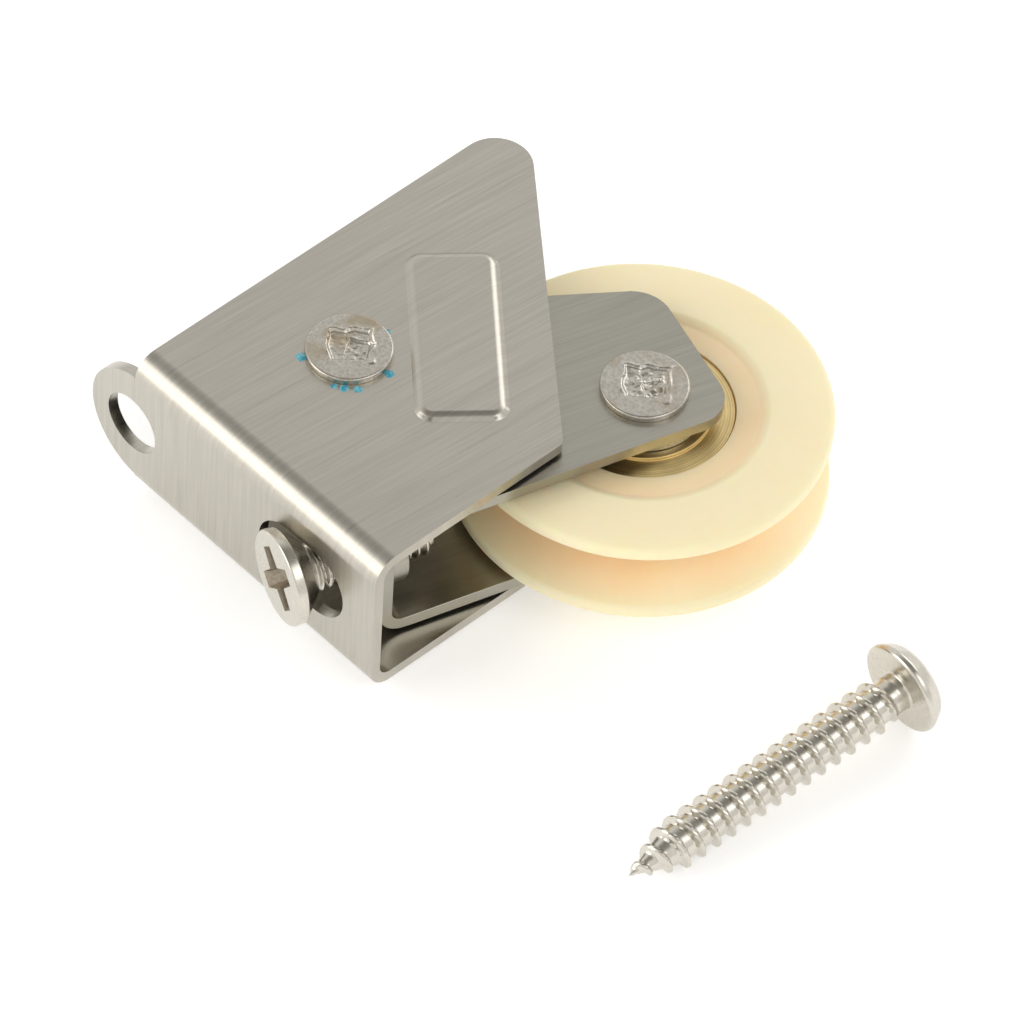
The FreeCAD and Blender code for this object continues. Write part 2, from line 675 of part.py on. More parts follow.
def make_fixing_screw(doc, size):
    """A round-head tapping screw lying beside the housing on its head's rim and its point."""
    body = new_body(doc, "fixing_screw")
    core = size.fixing_core_radius
    head = size.fixing_head_radius
    under = size.fixing_head_height
    tip = under + size.fixing_length
    point = tip - size.fixing_point
    crown = under - size.fixing_head_rim
    curve = [(head * across, crown * down) for across, down in ROUND_HEAD_CURVE]
    revolve(body, "turned_screw", [(0, 0)] + curve + [
        (head, crown), (head, under), (core, under), (core, point), (0, tip),
    ])
    first = under + size.fixing_pitch
    inside = core * RIDGE_SINK
    foot = size.fixing_pitch * TAPPING_THREAD_FOOT
    crest = formula(TAPPING_THREAD_CREST)
    ridge = revolve(body, "thread_ridge", [
        (inside, first - foot), (size.fixing_radius, first - crest),
        (size.fixing_radius, first + crest), (inside, first + foot),
    ])
    turns = whole((point - first) / size.fixing_pitch) + 1
    repeat_along_z(body, "thread", ridge, size.fixing_pitch, turns)
    cut_cross_recess(body, size, size.fixing_recess_depth)
    body.Placement = lying_screw(size)
    return body


def lying_screw(size):
    """The loose screw rests on its head's rim and its last full thread, level with the rivet's head."""
    surface = -(size.housing_width.value / 2 + size.rivet_head_height.value)
    head = size.fixing_head_radius.value
    threaded = size.fixing_length.value - size.fixing_point.value
    tilt = math.atan2(head - size.fixing_radius.value, threaded)
    tip_height = surface + head * math.cos(tilt) - size.fixing_length.value * math.sin(tilt)
    towards_head = Rotation(Vector(0, 0, 1), -size.fixing_turn.value)
    raised = Rotation(Vector(1, 0, 0), 90 + math.degrees(tilt))
    turn = towards_head.multiply(raised)
    tip = Vector(size.fixing_tip_x.value, size.fixing_tip_y.value, tip_height)
    overall = size.fixing_head_height.value + size.fixing_length.value
    return Placement(tip - turn.multVec(Vector(0, 0, overall)), turn)


# ---- The document -------------------------------------------------------------------------------

def check(doc, bodies):
    """Stop if any object failed or any sub-part isn't one valid solid."""
    for item in doc.Objects:
        if "Invalid" in item.State or "Error" in item.State:
            raise RuntimeError(f"{item.Name} failed: {item.State}")
    for body in bodies:
        shape = body.Shape
        if shape.isNull() or not shape.isValid() or len(shape.Solids) != 1:
            raise RuntimeError(f"{body.Label} isn't one valid solid")


def main():
    doc = FreeCAD.newDocument("sliding_door_roller")
    size = make_sheet(doc)
    bodies = [make_housing(doc, size), make_arm_bracket(doc, size)]
    bodies += make_arm_fittings(doc, size)
    bodies += [make_wheel(doc, size), make_bush(doc, size)]
    bodies += [make_adjusting_screw(doc, size), make_fixing_screw(doc, size)]
    doc.recompute()
    check(doc, bodies)
    os.makedirs("parts", exist_ok=True)
    for body in bodies:
        body.Shape.exportStep(f"parts/{body.Label}.step")
        box = body.Shape.BoundBox
        print(f"{body.Label:18s} {body.Shape.Volume:9.2f} mm3  "
              f"x {box.XMin:7.2f} {box.XMax:7.2f}  y {box.YMin:7.2f} {box.YMax:7.2f}  "
              f"z {box.ZMin:7.2f} {box.ZMax:7.2f}")


main()
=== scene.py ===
import json
import math

import bmesh
import bpy
import numpy as np
from mathutils import Matrix, Vector, noise


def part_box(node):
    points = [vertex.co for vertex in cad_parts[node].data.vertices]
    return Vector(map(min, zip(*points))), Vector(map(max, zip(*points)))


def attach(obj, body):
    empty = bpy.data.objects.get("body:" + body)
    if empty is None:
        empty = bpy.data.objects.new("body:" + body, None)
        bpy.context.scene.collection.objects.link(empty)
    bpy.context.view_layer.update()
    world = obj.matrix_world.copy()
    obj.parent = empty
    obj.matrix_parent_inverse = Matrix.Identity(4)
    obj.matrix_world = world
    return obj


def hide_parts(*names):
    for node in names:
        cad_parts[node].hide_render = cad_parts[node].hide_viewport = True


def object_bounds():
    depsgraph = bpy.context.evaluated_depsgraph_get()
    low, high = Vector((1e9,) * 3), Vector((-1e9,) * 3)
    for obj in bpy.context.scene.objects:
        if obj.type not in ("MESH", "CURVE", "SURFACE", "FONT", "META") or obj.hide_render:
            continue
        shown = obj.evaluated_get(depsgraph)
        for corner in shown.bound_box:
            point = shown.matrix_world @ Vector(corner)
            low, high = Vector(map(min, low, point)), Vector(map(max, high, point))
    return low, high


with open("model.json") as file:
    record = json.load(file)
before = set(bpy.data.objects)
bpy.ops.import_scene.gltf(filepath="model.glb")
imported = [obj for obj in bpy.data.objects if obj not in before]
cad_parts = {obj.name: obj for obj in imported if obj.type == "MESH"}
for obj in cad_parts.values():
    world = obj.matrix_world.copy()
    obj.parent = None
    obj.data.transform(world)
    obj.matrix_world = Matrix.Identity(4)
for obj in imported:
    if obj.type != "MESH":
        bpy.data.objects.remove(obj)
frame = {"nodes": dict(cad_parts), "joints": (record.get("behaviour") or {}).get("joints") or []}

# Looks of the sliding door roller: rounded sheet metal, turned and threaded pieces, a moulded wheel.
# Metres, in the CAD model's frame. Sizes named here in millimetres are multiplied by MM.

MM = 0.001
CAD_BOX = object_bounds()
CAD_NODES = frame["nodes"]
JOINTS = {joint["name"]: joint for joint in frame["joints"]}
PIVOT = Vector(JOINTS["arm_swing"]["pos_m"])
AXLE = Vector(JOINTS["wheel_spin"]["pos_m"])
ARM_AXIS = Vector(JOINTS["screw_advance"]["axis"])  # along the arm, towards the axle
ARM_TURN = math.atan2(ARM_AXIS.x, ARM_AXIS.y)
UP = Vector((0, 0, 1))


# ---- Small helpers ------------------------------------------------------------------------------

def node_points(name):
    """The CAD node's vertices as an array."""
    points = np.empty(len(CAD_NODES[name].data.vertices) * 3)
    CAD_NODES[name].data.vertices.foreach_get("co", points)
    return points.reshape(-1, 3)


def axis_frame(origin, direction):
    """A matrix whose Z axis runs along a direction from an origin."""
    turn = UP.rotation_difference(direction)
    return Matrix.Translation(origin) @ turn.to_matrix().to_4x4()


def reach(name, place):
    """Greatest radius and highest place of a CAD node round the place's own Z axis."""
    inverse = np.array(place.inverted())
    local = node_points(name) @ inverse[:3, :3].T + inverse[:3, 3]
    return np.hypot(local[:, 0], local[:, 1]).max(), local[:, 2].max()


def smooth_step(value, low, high):
    share = min(1.0, max(0.0, (value - low) / (high - low)))
    return share * share * (3 - 2 * share)


def finish_piece(piece, body, materials, node=None, crease=40.0):
    """Materials, soft shading with sharp creases, and the body that the piece rides on."""
    mesh = piece.data
    while len(mesh.materials) < len(materials):
        mesh.materials.append(None)
    for index, material in enumerate(materials):
        mesh.materials[index] = material
    mesh.polygons.foreach_set("use_smooth", [True] * len(mesh.polygons))
    edit = bmesh.new()
    edit.from_mesh(mesh)
    for edge in edit.edges:
        edge.smooth = not (edge.is_manifold and edge.calc_face_angle(0.0) > math.radians(crease))
    edit.to_mesh(mesh)
    edit.free()
    weighted = piece.modifiers.new("even_shading", "WEIGHTED_NORMAL")
    weighted.keep_sharp = True
    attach(piece, body)
    if node:
        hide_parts(node)


def new_piece(name, points, faces, place=None):
    mesh = bpy.data.meshes.new(name)
    mesh.from_pydata([tuple(point) for point in points], [], faces)
    if place is not None:
        mesh.transform(place)
    mesh.update()
    piece = bpy.data.objects.new(name, mesh)
    bpy.context.scene.collection.objects.link(piece)
    return piece


ON_AXIS = 1e-7  # a smaller radius than this is a single point


def fillet_profile(corners, steps=5):
    """A profile of (radius, height, rounding) corners as points, with each rounding as an arc."""
    points = []
    for index, (radius, height, rounding) in enumerate(corners):
        here = Vector((radius, height))
        if rounding <= 0 or index in (0, len(corners) - 1):
            points.append(here)
            continue
        before = (Vector(corners[index - 1][:2]) - here).normalized()
        after = (Vector(corners[index + 1][:2]) - here).normalized()
        half = before.angle(after) / 2
        centre = here + (before + after).normalized() * (rounding / math.sin(half))
        start = here + before * (rounding / math.tan(half)) - centre
        end = here + after * (rounding / math.tan(half)) - centre
        for step in range(steps + 1):
            points.append(centre + start.slerp(end, step / steps).normalized() * rounding)
    return [tuple(point) for point in points]


def mirrored(half, steps):
    """A closed profile from the corners of its upper half, which its lower half mirrors."""
    lower = [(radius, -height, rounding) for radius, height, rounding in reversed(half)]
    outline = fillet_profile(half + lower, steps)
    return outline + outline[:1]


def ring_faces(levels, count, start=0):
    """Four-sided faces between rings of points that follow each other from a starting point."""
    faces = []
    for level in range(levels - 1):
        low = start + level * count
        for step in range(count):
            following = (step + 1) % count
            faces.append([low + step, low + following, low + count + following, low + count + step])
    return faces


def lathe(name, profile, segments, place, shape=None):
    """Turn a profile of (radius, height) round the place's Z axis; shape may move each point."""
    points, faces, rings = [], [], []
    for radius, height in profile:
        if radius < ON_AXIS:
            rings.append([len(points)])
            points.append(Vector((0, 0, height)))
            continue
        rings.append(list(range(len(points), len(points) + segments)))
        for step in range(segments):
            angle = 2 * math.pi * step / segments
            points.append(Vector((radius * math.cos(angle), radius * math.sin(angle), height)))
    if shape:
        points = [shape(point) for point in points]
    for lower, upper in zip(rings, rings[1:]):
        for step in range(segments):
            following = (step + 1) % segments
            corners = [lower[step % len(lower)], lower[following % len(lower)],
                       upper[following % len(upper)], upper[step % len(upper)]]
            faces.append(list(dict.fromkeys(corners)))
    return new_piece(name, points, faces, place)


def face_outwards(piece):
    edit = bmesh.new()
    edit.from_mesh(piece.data)
    bmesh.ops.recalc_face_normals(edit, faces=edit.faces)
    edit.to_mesh(piece.data)
    edit.free()


def apply_modifiers(piece):
    """Turn the piece's modifiers into its mesh."""
    bpy.context.view_layer.update()
    evaluated = piece.evaluated_get(bpy.context.evaluated_depsgraph_get())
    solid = bpy.data.meshes.new_from_object(evaluated)
    piece.modifiers.clear()
    old = piece.data
    piece.data = solid
    bpy.data.meshes.remove(old)


def cut_out(piece, cutter):
    """Cut one closed mesh out of another."""
    modifier = piece.modifiers.new("cut", "BOOLEAN")
    modifier.operation = "DIFFERENCE"
    modifier.solver = "EXACT"
    modifier.object = cutter
    apply_modifiers(piece)
    bpy.data.objects.remove(cutter)


# ---- Materials ----------------------------------------------------------------------------------

def fill_ramp(node, stops):
    """Give a colour ramp its stops, each a position with a colour."""
    elements = node.color_ramp.elements
    while len(elements) < len(stops):
        elements.new(0.5)
    for element, (position, colour) in zip(elements, stops):
        element.position = position
        element.color = (*colour, 1)


class Nodes:
    """A material's node tree with short calls to add nodes."""

    def __init__(self, name):
        self.material = bpy.data.materials.new(name)
        self.material.use_nodes = True
        self.tree = self.material.node_tree
        self.shader = self.tree.nodes["Principled BSDF"]

    def add(self, kind, **settings):
        node = self.tree.nodes.new(kind)
        for key, value in settings.items():
            if key in node.inputs:
                self.feed(node.inputs[key], value)
            else:
                setattr(node, key, value)
        return node

    def feed(self, socket, value):
        if isinstance(value, bpy.types.NodeSocket):
            self.tree.links.new(value, socket)
        else:
            socket.default_value = value

    def coordinates(self, scale=1.0, turn=0.0, origin=(0, 0, 0)):
        """Object coordinates from an origin, turned about Z and then scaled evenly, per metre."""
        source = self.add("ShaderNodeTexCoord").outputs["Object"]
        moved = self.add("ShaderNodeVectorMath", operation="SUBTRACT")
        self.feed(moved.inputs[0], source)
        self.feed(moved.inputs[1], origin)
        turned = self.add("ShaderNodeVectorRotate", rotation_type="Z_AXIS", Angle=turn)
        self.feed(turned.inputs["Vector"], moved.outputs[0])
        scaled = self.add("ShaderNodeVectorMath", operation="MULTIPLY")
        self.feed(scaled.inputs[0], turned.outputs[0])
        self.feed(scaled.inputs[1], (scale, scale, scale))
        return scaled.outputs[0]

    def axis_distance(self, place):
        """The distance from an upright axis through a place, and the height along it."""
        separate = self.add("ShaderNodeSeparateXYZ")
        self.feed(separate.inputs[0], self.coordinates(origin=tuple(place)))
        flat = self.add("ShaderNodeCombineXYZ")
        self.feed(flat.inputs[0], separate.outputs[0])
        self.feed(flat.inputs[1], separate.outputs[1])
        length = self.add("ShaderNodeVectorMath", operation="LENGTH")
        self.feed(length.inputs[0], flat.outputs[0])
        return length.outputs["Value"], separate.outputs[2]

    def noise(self, vector, detail=3.0, roughness=0.55):
        node = self.add("ShaderNodeTexNoise", Scale=1.0, Detail=detail, Roughness=roughness)
        self.feed(node.inputs["Vector"], vector)
        return node.outputs["Fac"]

    def ramp(self, factor, stops):
        """A ramp of greys; each stop is a position with its grey value."""
        node = self.add("ShaderNodeValToRGB")
        self.feed(node.inputs["Fac"], factor)
        fill_ramp(node, [(position, (grey, grey, grey)) for position, grey in stops])
        return node.outputs["Color"]

    def math(self, operation, first, second=0.0, third=0.0):
        node = self.add("ShaderNodeMath", operation=operation)
        for socket, value in zip(node.inputs, (first, second, third)):
            self.feed(socket, value)
        return node.outputs[0]

    def mix(self, factor, first, second):
        node = self.add("ShaderNodeMix", data_type="RGBA", blend_type="MIX")
        self.feed(node.inputs["Factor"], factor)
        for socket, value in ((node.inputs[6], first), (node.inputs[7], second)):
            self.feed(socket, value if isinstance(value, bpy.types.NodeSocket) else (*value, 1))
        return node.outputs[2]

    def bump(self, height, strength, distance):
        node = self.add("ShaderNodeBump", Strength=strength, Distance=distance)
        self.feed(node.inputs["Height"], height)
        return node.outputs["Normal"]

    def set(self, **values):
        for key, value in values.items():
            self.feed(self.shader.inputs[key.replace("_", " ")], value)
        return self.material


def brushed_steel(name, colour, lean, origin, roughness=0.3):
    """Sheet brushed along one direction, which runs on round the bends: fine streaks across X."""
    nodes = Nodes(name)
    separate = nodes.add("ShaderNodeSeparateXYZ")
    nodes.feed(separate.inputs[0], nodes.coordinates(1.0, lean, origin))
    across, along, over = separate.outputs
    run = nodes.math("ADD", along, over)
    streaks = []
    for fine, long in ((9000, 160), (3200, 90), (900, 60)):
        combine = nodes.add("ShaderNodeCombineXYZ")
        nodes.feed(combine.inputs[0], nodes.math("MULTIPLY", across, float(fine)))
        nodes.feed(combine.inputs[1], nodes.math("MULTIPLY", run, float(long)))
        streaks.append(nodes.noise(combine.outputs[0], 2.0))
    fine, middle, broad = streaks
    grain = nodes.math("ADD", nodes.math("MULTIPLY", fine, 0.5), nodes.math("MULTIPLY", middle, 0.5))
    cloud = nodes.noise(nodes.coordinates(90), 3.0)
    dark = tuple(0.88 * value for value in colour)
    light = tuple(min(1.0, 1.1 * value) for value in colour)
    tone = nodes.mix(nodes.ramp(grain, [(0.36, 0.0), (0.64, 1.0)]), dark, light)
    tone = nodes.mix(nodes.ramp(broad, [(0.3, 0.0), (0.7, 0.35)]), tone, light)
    tone = nodes.mix(nodes.ramp(cloud, [(0.35, 0.0), (0.7, 0.22)]), tone, dark)
    rough = nodes.math("MULTIPLY_ADD", grain, 0.16, roughness - 0.08)
    normal = nodes.bump(grain, 0.35, 0.012 * MM)
    return nodes.set(Base_Color=tone, Metallic=1.0, Roughness=rough, Normal=normal)


def worn_steel(name, colour, roughness, grain_scale, bump_depth, stain=None, tone_drop=0.72):
    """Bright steel with fine pits and handling marks."""
    nodes = Nodes(name)
    spot = nodes.noise(nodes.coordinates(grain_scale), 4.0, 0.6)
    cloud = nodes.noise(nodes.coordinates(420), 3.0)
    dark = tuple(tone_drop * value for value in colour)
    tone = nodes.mix(nodes.ramp(spot, [(0.35, 0.0), (0.65, 1.0)]), dark, colour)
    if stain:
        tone = nodes.mix(nodes.ramp(cloud, [(0.5, 0.0), (0.68, 0.75)]), tone, stain)
    rough = nodes.math("MULTIPLY_ADD", cloud, 0.2, roughness - 0.1)
    normal = nodes.bump(spot, 0.5, bump_depth * MM)
    return nodes.set(Base_Color=tone, Metallic=1.0, Roughness=rough, Normal=normal)


def turned_metal(name, colour, place, roughness):
    """Metal with fine lathe rings round an upright axis."""
    nodes = Nodes(name)
    distance, height = nodes.axis_distance(place)
    radial = nodes.add("ShaderNodeCombineXYZ")
    nodes.feed(radial.inputs[0], nodes.math("MULTIPLY", distance, 7000.0))
    nodes.feed(radial.inputs[1], nodes.math("MULTIPLY", height, 7000.0))
    rings = nodes.noise(radial.outputs[0], 2.0)
    cloud = nodes.noise(nodes.coordinates(600), 4.0)
    dark = tuple(0.68 * value for value in colour)
    tone = nodes.mix(nodes.ramp(rings, [(0.35, 0.0), (0.62, 1.0)]), dark, colour)
    tone = nodes.mix(nodes.ramp(cloud, [(0.4, 0.0), (0.7, 0.5)]), tone, dark)
    rough = nodes.math("MULTIPLY_ADD", cloud, 0.22, roughness - 0.1)
    normal = nodes.bump(rings, 0.4, 0.01 * MM)
    return nodes.set(Base_Color=tone, Metallic=1.0, Roughness=rough, Normal=normal)


WHEEL_RADIUS = 14.0 * MM
GROOVE_HALF_WIDTH = 2.6 * MM


def moulded_nylon(name):
    """Cream nylon with light passing into it; peach is painted into the bush recess and the rail groove as
    painted shadow.
    """
    nodes = Nodes(name)
    distance, height = nodes.axis_distance(AXLE)
    radius = nodes.math("DIVIDE", distance, WHEEL_RADIUS)
    cream, peach = (0.95, 0.84, 0.56), (0.97, 0.70, 0.42)
    # Painted shade: peach, darker than the cream, fills the bush recess and the rail groove.
    inner = nodes.ramp(radius, [(0.60, 1.0), (0.66, 0.0)])
    depth = nodes.math("ABSOLUTE", height)
    groove = nodes.math("MULTIPLY", nodes.math("LESS_THAN", depth, GROOVE_HALF_WIDTH),
                        nodes.ramp(radius, [(0.80, 1.0), (0.97, 0.0)]))
    shade = nodes.math("MAXIMUM", inner, groove)
    cloud = nodes.noise(nodes.coordinates(130), 3.0)
    speck = nodes.noise(nodes.coordinates(5200), 2.0)
    tone = nodes.mix(nodes.math("MULTIPLY", shade, 0.85), cream, peach)
    tone = nodes.mix(nodes.ramp(cloud, [(0.4, 0.0), (0.75, 0.35)]), tone, (0.98, 0.90, 0.67))
    rough = nodes.math("MULTIPLY_ADD", speck, 0.12, 0.36)
    normal = nodes.bump(speck, 0.25, 0.02 * MM)
    nodes.shader.subsurface_method = "RANDOM_WALK"
    return nodes.set(Base_Color=tone, Roughness=rough, Normal=normal, IOR=1.5,
                     Subsurface_Weight=0.5, Subsurface_Radius=(1.0, 0.55, 0.25),
                     Subsurface_Scale=1.6 * MM)


def cyan_ink(name):
    """Dried blue marking ink."""
    nodes = Nodes(name)
    cloud = nodes.noise(nodes.coordinates(2600), 3.0)
    tone = nodes.mix(nodes.ramp(cloud, [(0.4, 0.0), (0.65, 1.0)]), (0.03, 0.30, 0.42), (0.22, 0.55, 0.62))
    return nodes.set(Base_Color=tone, Roughness=0.5)


def pale_floor(name):
    nodes = Nodes(name)
    cloud = nodes.noise(nodes.coordinates(8), 2.0)
    tone = nodes.mix(nodes.ramp(cloud, [(0.3, 0.0), (0.7, 1.0)]), (0.90, 0.90, 0.90), (0.93, 0.93, 0.93))
    return nodes.set(Base_Color=tone, Roughness=0.9, Emission_Color=(1, 1, 1, 1),
                     Emission_Strength=0.36)


# ---- Sheet metal --------------------------------------------------------------------------------

EDGE_ROUND = 0.13 * MM  # sheared edges of the sheets
PANEL_ROUND = 0.62 * MM  # shoulder of the pressed panel


def outermost(edge, top):
    """Whether an edge lies in the sheet's highest or lowest face."""
    return all(abs(abs(vertex.co.z) - top) < 0.001 * MM for vertex in edge.verts)


def bevel_edges(edit, edges, width, segments):
    bmesh.ops.bevel(edit, geom=edges, offset=width, offset_type="OFFSET", segments=segments,
                    profile=0.5, affect="EDGES", clamp_overlap=True)


def rounded_sheet(name, node, body, material, shoulder_round=0.0):
    """The CAD sheet with its flat faces joined again and its sharp edges rounded.

    The edges of its outermost faces get their own rounding, or stay sharp without one.
    """
    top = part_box(node)[1].z
    mesh = CAD_NODES[node].data.copy()
    edit = bmesh.new()
    edit.from_mesh(mesh)
    bmesh.ops.remove_doubles(edit, verts=edit.verts, dist=0.002 * MM)
    bmesh.ops.dissolve_limit(edit, angle_limit=math.radians(0.6), use_dissolve_boundaries=False,
                             verts=edit.verts, edges=edit.edges)
    sharp = [edge for edge in edit.edges
             if edge.is_manifold and edge.calc_face_angle(0.0) > math.radians(28)]
    bevel_edges(edit, [edge for edge in sharp if not outermost(edge, top)], EDGE_ROUND, 3)
    if shoulder_round:
        shoulder = [edge for edge in edit.edges if outermost(edge, top)
                    and edge.is_manifold and edge.calc_face_angle(0.0) > math.radians(20)]
        bevel_edges(edit, shoulder, shoulder_round, 6)
    edit.to_mesh(mesh)
    edit.free()
    piece = bpy.data.objects.new(name, mesh)
    bpy.context.scene.collection.objects.link(piece)
    finish_piece(piece, body, [material], node)


# ---- Rivets -------------------------------------------------------------------------------------

SHANK_RADIUS = 2.0 * MM  # of the rivets and the adjusting screw
HEAD_HEIGHT = 0.6 * MM
LIP_ROOM = 0.06 * MM  # a head's flat top lies this much under its raised lips
RIM_START = 0.94  # where the head's rounded rim starts, as a share of its radius
MARKED_SHARE = 0.95  # punch marks are kept within this share of the head's radius


def punched_top(marks, edge, crush):
    """How far a head's top is raised or sunk by the square punch marks that spread the rivet."""
    def lift_at(x, y):
        lift = 0.0
        for centre_x, centre_y, half, turn, deep in marks:
            across = (x - centre_x) * math.cos(turn) + (y - centre_y) * math.sin(turn)
            up = (y - centre_y) * math.cos(turn) - (x - centre_x) * math.sin(turn)
            spot = Vector((x, y, turn * MM)) / MM
            wobble = 1 + 0.22 * noise.noise(spot * 0.9)
            share = max(abs(across), abs(up)) / (half * wobble)
            inside = 1 - smooth_step(share, 0.93, 1.05)
            lip = math.exp(-((share - 1.08) / 0.06) ** 2) * (0.5 + 1.6 * noise.noise(spot * 0.8))
            rubble = noise.fractal(spot * 1.5, 0.9, 2.0, 3)
            lift += -deep * inside + 0.45 * deep * max(0.0, lip) + crush * inside * rubble
        fade = 1 - smooth_step(math.hypot(x, y) / edge, 0.86, 0.97)
        return lift * fade
    return lift_at


def rivet(name, node, body, place, marks, crush, material):
    """A rivet with two low heads; both tops carry punch marks."""
    head_radius, top = reach(node, place)
    plate = top - HEAD_HEIGHT
    flat = top - LIP_ROOM
    rings = 34
    upper = [(head_radius * RIM_START * index / rings, flat) for index in range(rings + 1)]
    upper += fillet_profile([
        (head_radius * RIM_START, flat, 0), (head_radius, flat, 0.16 * MM),
        (head_radius, plate, 0.05 * MM), (SHANK_RADIUS, plate, 0)])[1:]
    lower = [(radius, -height) for radius, height in reversed(upper)]
    lift_at = punched_top(marks, head_radius, crush)

    def shape(point):
        if math.hypot(point.x, point.y) < head_radius * MARKED_SHARE and abs(point.z) > plate:
            side = 1 if point.z > 0 else -1
            point.z += side * min(LIP_ROOM, lift_at(point.x * side, point.y))
        return point

    piece = lathe(name, upper + lower, 144, place, shape)
    face_outwards(piece)
    finish_piece(piece, body, [material], node, crease=60)


# ---- The wheel ----------------------------------------------------------------------------------

def wheel(material):
    """The moulded wheel: rounded rims, rail groove and a shallow recess round the bush."""
    place = Matrix.Translation(AXLE)
    radius, face = reach("wheel", place)
    bush_radius = reach("wheel_bush", place)[0]
    recess = face - 0.35 * MM
    lip = face - 1.25 * MM
    ring_foot, ring_top = 8.6 * MM, 9.3 * MM  # sloped wall of the recess
    root_radius, root_half = 10.0 * MM, 0.9 * MM  # bottom of the rail groove
    half = [(bush_radius, recess, 0), (ring_foot, recess, 0.5 * MM), (ring_top, face, 0.6 * MM),
            (radius, face, 0.55 * MM), (radius, lip, 0.5 * MM), (root_radius, root_half, 1.2 * MM)]
    piece = lathe("wheel_moulding", mirrored(half, steps=8), 224, place)
    face_outwards(piece)
    finish_piece(piece, "wheel", [material], "wheel", crease=60)


def bush(material):
    """The brass bush, with turned steps and a chamfered bore."""
    place = Matrix.Translation(AXLE)
    radius, end = reach("wheel_bush", place)
    bore, bore_bevel, rim_bevel = 3.06 * MM, 0.15 * MM, 0.12 * MM
    step = 5.1 * MM  # the raised bearing face ends here
    shoulder = end - 0.3 * MM
    half = [(bore, end - bore_bevel, 0), (bore + bore_bevel, end, 0), (step, end, 0.08 * MM),
            (step, shoulder, 0.05 * MM), (radius - rim_bevel, shoulder, 0),
            (radius, shoulder - rim_bevel, 0)]
    piece = lathe("brass_bush", mirrored(half, steps=3), 160, place)
    face_outwards(piece)
    finish_piece(piece, "wheel", [material], "wheel_bush")


# ---- Screws -------------------------------------------------------------------------------------

def cross_cutter(name, span, arm, depth, place):
    """A tapered cross that cuts a Phillips recess; its mouth is at the place's origin, +Z inwards."""
    levels = ((-0.3 * MM, 1.12, 1.15), (0.0, 1.0, 1.0), (depth * 0.15, 0.9, 0.86),
              (depth * 0.8, 0.55, 0.7), (depth, 0.3, 0.4))
    points = []
    for height, reach_share, width_share in levels:
        tip = span / 2 * reach_share
        side = arm / 2 * width_share
        inner = max(side * 1.25, side + 0.03 * MM)
        tip = max(tip, inner * 1.05)
        for quarter in range(4):
            turn = Matrix.Rotation(math.radians(90 * quarter), 3, "Z")
            for across, up in ((inner, -inner), (tip, -side), (tip, side)):
                points.append(turn @ Vector((across, up, height)))
    count = len(points) // len(levels)
    faces = ring_faces(len(levels), count)
    faces.append(list(range(count)))
    faces.append(list(range(len(points) - count, len(points))))
    cutter = new_piece(name, points, faces, place)
    face_outwards(cutter)
    return cutter


def threaded_shank(core, crest, pitch, start, end, run_in, run_out, phase, flat, foot, narrow):
    """Rows of (height, ring of angles and radii) of a right-hand thread over a core.

    The ridge is full to flat and gone at foot, as shares of a turn; narrow shrinks the core by height.
    """
    segments = 72
    step = pitch / 14
    rows = []
    height = start
    while height <= end + step / 2:
        shrink = narrow(height)
        fade = smooth_step(height, start, start + run_in) * (1 - smooth_step(height, end - run_out, end))
        row = []
        for index in range(segments):
            angle = 2 * math.pi * index / segments
            turn = (height / pitch - angle / (2 * math.pi) + phase) % 1.0
            gap = min(turn, 1 - turn)
            ridge = 1 - smooth_step(gap, flat, foot)
            radius = core * shrink + (crest - core) * ridge * fade * (0.35 + 0.65 * shrink)
            row.append((angle, radius))
        rows.append((height, row))
        height += step
    return rows


def ring_surface(rows):
    """Points and faces of a surface from rows of rings; the ends stay open."""
    points = []
    for height, row in rows:
        for angle, radius in row:
            points.append(Vector((radius * math.cos(angle), radius * math.sin(angle), height)))
    return points, ring_faces(len(rows), len(rows[0][1]))


def screw(name, node, body, place, head, rows, recess, materials, crease=38):
    """A screw made of a head profile, threaded rows and a cross recess with its own material, a darker brown
    steel that paints the recess's shade.
    """
    count = len(rows[0][1])
    head_rows = [(height, [(angle, radius) for angle, _ in rows[0][1]]) for radius, height in head]
    points, faces = ring_surface(head_rows + rows)
    last = len(points) - count
    points += [Vector((0, 0, head[0][1])), Vector((0, 0, rows[-1][0]))]
    for step in range(count):
        following = (step + 1) % count
        faces.append([len(points) - 2, following, step])
        faces.append([len(points) - 1, last + step, last + following])
    piece = new_piece(name, points, faces)
    face_outwards(piece)
    span, arm, depth, turn = recess
    cutter = cross_cutter(name + "_cutter", span, arm, depth, Matrix.Rotation(turn, 4, "Z"))
    for mesh in (piece.data, cutter.data):
        for material in materials:
            mesh.materials.append(material)
    # The recess faces take the second material: painted shade, darker and browner than the head.
    cutter.data.polygons.foreach_set("material_index", [1] * len(cutter.data.polygons))
    cut_out(piece, cutter)
    piece.data.transform(place)
    finish_piece(piece, body, materials, node, crease)


def divided(profile, longest):
    """The profile in runs of about a length at most, without its last point."""
    points = []
    for first, second in zip(profile, profile[1:]):
        points.append(first)
        pieces = max(1, round(math.dist(first, second) / longest))
        for index in range(1, pieces):
            share = index / pieces
            points.append((first[0] + (second[0] - first[0]) * share,
                           first[1] + (second[1] - first[1]) * share))
    return points


